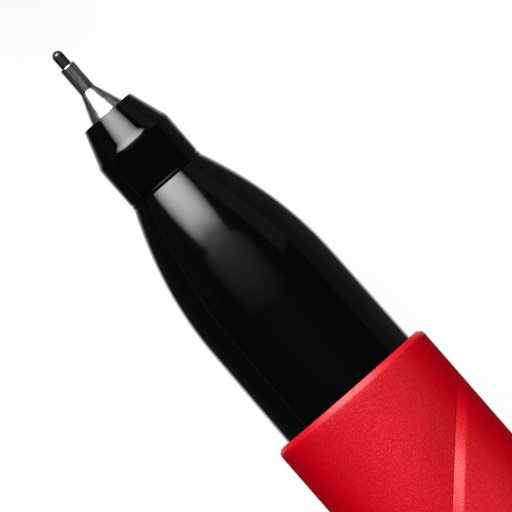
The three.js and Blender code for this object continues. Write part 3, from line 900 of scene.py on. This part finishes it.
def far_end(node, mouth, side):
    """How deep in the cap the node's far end lies."""
    return abs(station(node, 0 if side < 0 else 1) - mouth)


def cap_shell(name, node, mouth, side, cup_node, cup_bore):
    """A cap's tube, with the ledge inside that its cup rests on."""
    radius, bore = reach("outer_sleeve"), reach("barrel_core") + CAP_SLIP
    end = far_end(node, mouth, side)
    ledge = far_end(cup_node, mouth, side) - CUP_FLANGE_THICKNESS - SEAM
    ledge_front = ledge - CAP_LEDGE_LENGTH
    ledge_hole = cup_bore + CUP_WALL + CAP_LEDGE_SLIP
    recess = reach(cup_node) + SLIP
    return turned(name, into(mouth, side, [
        (0, bore, 0.2),
        (0, radius, 0.25),
        (end, radius - CAP_DRAFT * end, 0.35),
        (end, recess),
        (ledge, recess),
        (ledge, ledge_hole),
        (ledge_front, ledge_hole),
        (ledge_front, bore - CAP_DRAFT * ledge_front),
    ]), sides=240)


def cap_cup(name, node, mouth, side, bore):
    """A cap's sealing cup, with the flange that holds it."""
    start = far_end(node, mouth, -side)
    end = far_end(node, mouth, side)
    flange = end - CUP_FLANGE_THICKNESS
    return turned(name, into(mouth, side, [
        (end - CUP_FLOOR, 0),
        (end - CUP_FLOOR, bore, 0.4),
        (start, bore, 0.25),
        (start, bore + CUP_WALL, 0.12),
        (flange, bore + CUP_WALL),
        (flange, reach(node), 0.08),
        (end, reach(node), 0.08),
        (end, 0),
    ]), sides=144)


def cap_plug(name, mouth, side, shell_node, cup_node):
    """A cap's end plug, with the head that closes the tube."""
    start = far_end(cup_node, mouth, side) + SEAM
    head = far_end(shell_node, mouth, side) + SEAM
    head_end = head + PLUG_HEAD_THICKNESS
    return turned(name, into(mouth, side, [
        (start, 0),
        (start, reach(cup_node), 0.15),
        (head, reach(cup_node)),
        (head, PLUG_HEAD_RADIUS, 0.12),
        (head_end, PLUG_HEAD_RADIUS, 0.4),
        (head_end, 0),
    ]), sides=160)


def clip_arm(mouth, lean):
    """The clip's bar: its outline drawn out to its width, with eased edges."""
    root_front = far_end("fine_cap_shell", mouth, -1) + SEAM
    root_end = root_front + PLUG_HEAD_THICKNESS
    tip = root_end - CLIP_LENGTH
    back = CLIP_OUTER_RADIUS
    belly = back - CLIP_THICKNESS
    bead_end = tip + CLIP_BEAD_LENGTH
    bead = reach("outer_sleeve") - CAP_DRAFT * tip + CLIP_BEAD_GAP
    root = PLUG_HEAD_RADIUS - CLIP_ROOT_DEPTH
    root_corner = Vector((root_end, back))
    tip_corner = Vector((tip, back))
    along = Vector((CLIP_ROUNDING, 0))
    inwards = Vector((0, -CLIP_ROUNDING))
    bead_low = Vector(((tip + bead_end) / 2, 2 * bead - belly))
    outline = [
        Vector((root_front, root)),
        Vector((root_end, root)),
        *bend(root_corner + inwards, root_corner, root_corner - along),
        *bend(tip_corner + along, tip_corner, tip_corner + inwards),
        *bend(tip_corner + inwards, bead_low, Vector((bead_end, belly)))[1:],
        Vector((root_front, belly)),
    ]
    down = Vector((0, -math.sin(lean), -math.cos(lean)))
    across = Vector((0, math.cos(lean), -math.sin(lean)))
    shape = bmesh.new()
    rims = []
    for side in (-CLIP_WIDTH / 2, CLIP_WIDTH / 2):
        rims.append([
            shape.verts.new(TIP + (Vector((mouth - depth, 0, 0)) + down * height + across * side) * MM)
            for depth, height in outline
        ])
    count = len(outline)
    for index in range(count):
        following = (index + 1) % count
        shape.faces.new([rims[0][index], rims[0][following], rims[1][following], rims[1][index]])
    sides = [shape.faces.new(rim) for rim in rims]
    edges = {edge for face in sides for edge in face.edges}
    bmesh.ops.bevel(
        shape, geom=list(edges), offset=CLIP_BEVEL * MM, segments=4, affect="EDGES", profile=0.5
    )
    bmesh.ops.recalc_face_normals(shape, faces=shape.faces)
    mesh = bpy.data.meshes.new("clip_arm")
    shape.to_mesh(mesh)
    shape.free()
    piece = bpy.data.objects.new("clip_arm", mesh)
    bpy.context.scene.collection.objects.link(piece)
    return piece


cap_mouth = station("fine_cap_shell", 1)
fine_cup_bore = NOSE_RADIUS + SLIP
shell = cap_shell("fine_cap_barrel", "fine_cap_shell", cap_mouth, -1, "fine_cap_inner", fine_cup_bore)
settle(shell, "fine_cap_shell", "fine_cap", black_gloss)
cup = cap_cup("fine_cap_cup", "fine_cap_inner", cap_mouth, -1, fine_cup_bore)
settle(cup, "fine_cap_inner", "fine_cap", milky_plastic)
clip_corner = math.atan2(CLIP_WIDTH / 2, CLIP_OUTER_RADIUS)
clip_lean = math.acos(TIP.z / MM / reach("fine_cap_clip")) + clip_corner
arm = clip_arm(cap_mouth, clip_lean)
clip = cap_plug("clip_plug", cap_mouth, -1, "fine_cap_shell", "fine_cap_inner")
union = clip.modifiers.new("clip_arm", "BOOLEAN")
union.operation = "UNION"
union.object = arm
union.solver = "EXACT"
joined = bpy.data.meshes.new_from_object(clip.evaluated_get(bpy.context.evaluated_depsgraph_get()))
clip.modifiers.clear()
clip.data = joined
bpy.data.objects.remove(arm)
joined.shade_smooth()
joined.set_sharp_from_angle(angle=CRISP)
settle(clip, "fine_cap_clip", "fine_cap", red_satin)


# Broad cap
# The same kind of cap on the broad end, pushed on until it clicks: a black shell, a milky cup that
# seals round the collar's neck, and a plain red plug.
cap_mouth = station("broad_cap_shell", 0)
broad_cup_bore = NECK_RADIUS + SLIP
shell = cap_shell("broad_cap_barrel", "broad_cap_shell", cap_mouth, 1, "broad_cap_inner", broad_cup_bore)
settle(shell, "broad_cap_shell", "broad_cap", black_gloss)
cup = cap_cup("broad_cap_cup", "broad_cap_inner", cap_mouth, 1, broad_cup_bore)
settle(cup, "broad_cap_inner", "broad_cap", milky_plastic)
plug = cap_plug("broad_plug", cap_mouth, 1, "broad_cap_shell", "broad_cap_inner")
settle(plug, "broad_cap_plug", "broad_cap", red_satin)


# Floor
# The marker lies on a wide white light table. Its glow is led straight up, so that shiny sides see it
# only where they look steeply down.
FLOOR_GAP = 0.03  # the floor's depth under the solids' facets
FLOOR_RADIUS = 9000
FLOOR_RING = 300  # radius of a ring of points in it
FLOOR_GREY = (0.022, 0.055)  # as reflections see it, on the left and on the right, painted lighter on the right to stand in for more light from that side
FLOOR_CHANGE = 5  # from one to the other within this of the middle
FLOOR_LIGHT = 1.14  # what the lamps lend a white card that lies on it
FLOOR_SEEN = 0.995  # its brightness to the camera
GLOW = 0.94  # and to the reflections that it is led to
GLOW_REACH = (4, 18)  # stations between which the light is led ever more straight up
GLOW_FROM = (0.60, 0.86)  # cosine of the slant from which it is seen
GLOW_FULL = (0.98, 0.95)  # and from which it is full
BACKDROP_GLOW = 0.1  # share of the floor's
BACKDROP_HEIGHT = 450
BACKDROP_RUN = 50  # how far it leans outwards
STAGE_SIDES = 96


def table_top(name, falloff):
    """White to the camera. Reflections see its glow where it is led to them, and its own pale grey, which
    is painted lighter on the right to stand in for more light from that side.
    """
    material = bpy.data.materials.new(name)
    material.use_nodes = True
    graph = Graph(material.node_tree)
    camera = graph.node("ShaderNodeLightPath", output="Is Camera Ray")
    mirrored = camera.twin("Is Glossy Ray") + camera.twin("Is Transmission Ray")
    steep = 1 - graph.node("ShaderNodeLayerWeight", {}, {"Blend": 0.5}, "Facing")
    place = graph.node("ShaderNodeTexCoord", output="Object")
    forward = graph.node("ShaderNodeSeparateXYZ", {}, {0: place}, "X")
    # the floor's right half is painted a lighter grey: a painted reflection of light from the right in
    # the marker's shiny sides
    grey = graph.ramp(forward.twin("Y"), -FLOOR_CHANGE * MM, FLOOR_CHANGE * MM, *FLOOR_GREY)
    start, end = (TIP.x + distance * MM for distance in GLOW_REACH)
    low = graph.ramp(forward, start, end, *GLOW_FROM)
    high = graph.ramp(forward, start, end, *GLOW_FULL)
    led = graph.ramp(steep, low, high) * falloff
    seen = FLOOR_SEEN - grey * FLOOR_LIGHT
    shine = graph.node("ShaderNodeEmission", {}, {"Strength": camera * seen + mirrored * led * GLOW})
    matte = graph.node("ShaderNodeBsdfDiffuse", {}, {"Color": grey})
    both = graph.node("ShaderNodeAddShader", {}, {0: shine, 1: matte})
    graph.tree.links.new(both.socket, graph.tree.nodes["Material Output"].inputs["Surface"])
    return material


def stage_ring(name, rows, falloff):
    """Part of the stage, turned about the upright axis from (radius, height) points in millimetres."""
    angles = np.arange(STAGE_SIDES) * math.tau / STAGE_SIDES
    ring = np.stack([np.cos(angles), np.sin(angles), np.zeros(STAGE_SIDES)], -1)
    points = np.array([ring * radius + np.array([0, 0, height]) for radius, height in rows]) * MM
    piece = skin(name, points, closed=False)
    if piece.data.polygons[0].normal.z < 0:
        piece.data.flip_normals()
    piece.data.materials.append(table_top(name, falloff))


floor_rows = [(radius, -FLOOR_GAP) for radius in (0, FLOOR_RING, FLOOR_RADIUS)]
stage_ring("floor", floor_rows, 1.0)
backdrop_rows = [(FLOOR_RADIUS, -FLOOR_GAP), (FLOOR_RADIUS + BACKDROP_RUN, BACKDROP_HEIGHT)]
stage_ring("backdrop", backdrop_rows, BACKDROP_GLOW)


# Light
# A large soft window ahead of the nib gives the light, and a dim ceiling goes on from its top. A card
# stands on each side, and weak lamps that nothing mirrors fill the shadows.
KEY_DISTANCE = 900  # the window stands this far ahead of the picture's middle
KEY_SHIFT = -42  # of its middle, to the left
KEY_LOW, KEY_HIGH = 300, 1900
KEY_WIDTH = 1736
KEY_POWER = 131
KEY_SIDE_FADE = 2.1  # power of the fade: higher keeps more of the window bright
KEY_SILL = (0.08, 0.2)  # shares of the window's height between which its light comes up
KEY_SILL_LIGHT = 0.4
KEY_HEAD = (0.53, 0.91)  # and between which it goes down
KEY_HEAD_LIGHT = 0.1
KEY_FOOT_LIGHT = 1.11  # at its lower edge
KEY_FALL = 0.81  # even fall of its light over its height
CEILING_HEIGHT = 2000
CEILING_DISTANCE = 500  # likewise ahead
CEILING_FACING = (0.25, 0, -1)
CEILING_SIZE = (1000, 3400)
CEILING_POWER = 9
CEILING_SIDE_FADE = 1.6
CEILING_RISE = 0.5  # even rise of its light towards the window
CEILING_PEAK = 0.3  # steep rise close to the window
CEILING_PEAK_POWER = 5
CEILING_LEAST = 0.06
CARD_PLACE = (600, 1250, 400)  # ahead, aside and up
CARD_FACING = (0.43, 0.9)  # rearwards and inwards
CARD_SIZE = (700, 800)
FILL_DISTANCE = 1500
FILL_HEIGHT = 900
FILL_SIZE = (800, 1200)
DARK = (0.02, 0.02, 0.02, 1)
VIEW_STATION = 20.048  # where the middle of the picture lies


def lamp(name, place, facing, size, power, mirrored=True):
    """A rectangular lamp. size is its upright and level measure in millimetres."""
    light = bpy.data.lights.new(name, "AREA")
    light.shape = "RECTANGLE"
    light.size, light.size_y = (side * MM for side in size)
    light.energy = power
    made = bpy.data.objects.new(name, light)
    made.location = Vector(place) * MM
    made.rotation_euler = Vector(facing).to_track_quat("-Z", "X").to_euler()
    made.visible_camera = False
    made.visible_glossy = mirrored
    bpy.context.scene.collection.objects.link(made)
    return light


def grade(light, shading):
    """Shades a lamp by a function of its graph, the share of its height and the share of its width."""
    light.use_nodes = True
    graph = Graph(light.node_tree)
    place = graph.node("ShaderNodeNewGeometry", output="Parametric")
    upright = graph.node("ShaderNodeSeparateXYZ", {}, {0: place}, "X")
    graph.feed(graph.tree.nodes["Emission"], {"Strength": shading(graph, upright, upright.twin("Y"))})


def side_fade(graph, level, power):
    """1 in the middle of the width, falling to 0 at both sides."""
    return 1 - graph.math("ABSOLUTE", level * 2 - 1) ** power


def window_shading(graph, upright, level):
    """Brightest rather low down in the middle, fading to the sides and towards the top."""
    sill = graph.ramp(upright, *KEY_SILL, KEY_SILL_LIGHT, 1.0)
    head = graph.ramp(upright, *KEY_HEAD, 1.0, KEY_HEAD_LIGHT)
    fall = KEY_FOOT_LIGHT - upright * KEY_FALL
    return side_fade(graph, level, KEY_SIDE_FADE) * sill * head * fall


def ceiling_shading(graph, upright, level):
    """Brightest at the window and in the middle, and nearly dark above the marker."""
    near = 1 - upright
    rise = near * CEILING_RISE + near**CEILING_PEAK_POWER * CEILING_PEAK + CEILING_LEAST
    return side_fade(graph, level, CEILING_SIDE_FADE) * rise


view_x = TIP.x / MM + VIEW_STATION
key_middle = (KEY_LOW + KEY_HIGH) / 2
window_place = (view_x - KEY_DISTANCE, KEY_SHIFT, key_middle)
window = lamp("window", window_place, (1, 0, 0), (KEY_HIGH - KEY_LOW, KEY_WIDTH), KEY_POWER)
grade(window, window_shading)
ceiling_place = (view_x - CEILING_DISTANCE, 0, CEILING_HEIGHT)
ceiling = lamp("ceiling", ceiling_place, CEILING_FACING, CEILING_SIZE, CEILING_POWER)
grade(ceiling, ceiling_shading)
ahead, aside, up = CARD_PLACE
rearwards, inwards = CARD_FACING
for name, side, power in (("card_left", -1, 0.04), ("card_right", 1, 0.2)):
    place = (view_x - ahead, side * aside, up)
    lamp(name, place, (rearwards, -side * inwards, 0), CARD_SIZE, power)
for name, x, y, power in (("fill_left", 0, -1, 2.5), ("fill_right", 0, 1, 2.5), ("fill_behind", 1, 0, 5)):
    place = (x * FILL_DISTANCE, y * FILL_DISTANCE, FILL_HEIGHT)
    facing = (-x * FILL_DISTANCE, -y * FILL_DISTANCE, -FILL_HEIGHT)
    lamp(name, place, facing, FILL_SIZE, power, mirrored=False)
world = bpy.data.worlds.new("studio")
world.use_nodes = True
world.node_tree.nodes["Background"].inputs["Color"].default_value = DARK
bpy.context.scene.world = world


# Camera
# It looks straight down on the fine end through a long lens, turned so that the marker runs from the
# upper left to the lower right.
VIEW_SIDE = 1.265  # how far the middle of the picture lies beside the marker's axis
PHOTO_WIDTH = 35.84  # what the picture shows across, at the height of the axis
CAMERA_HEIGHT = 1100  # above the axis
CAMERA_TURN = math.radians(48.926)
SENSOR = 36

camera = bpy.data.cameras.new("camera")
camera.sensor_width = SENSOR
camera.lens = SENSOR * CAMERA_HEIGHT / PHOTO_WIDTH
viewer = bpy.data.objects.new("camera", camera)
viewer.location = TIP + Vector((VIEW_STATION, VIEW_SIDE, CAMERA_HEIGHT)) * MM
viewer.rotation_euler = (0, 0, CAMERA_TURN)
bpy.context.scene.collection.objects.link(viewer)
bpy.context.scene.camera = viewer
bpy.context.scene.view_settings.view_transform = "Standard"
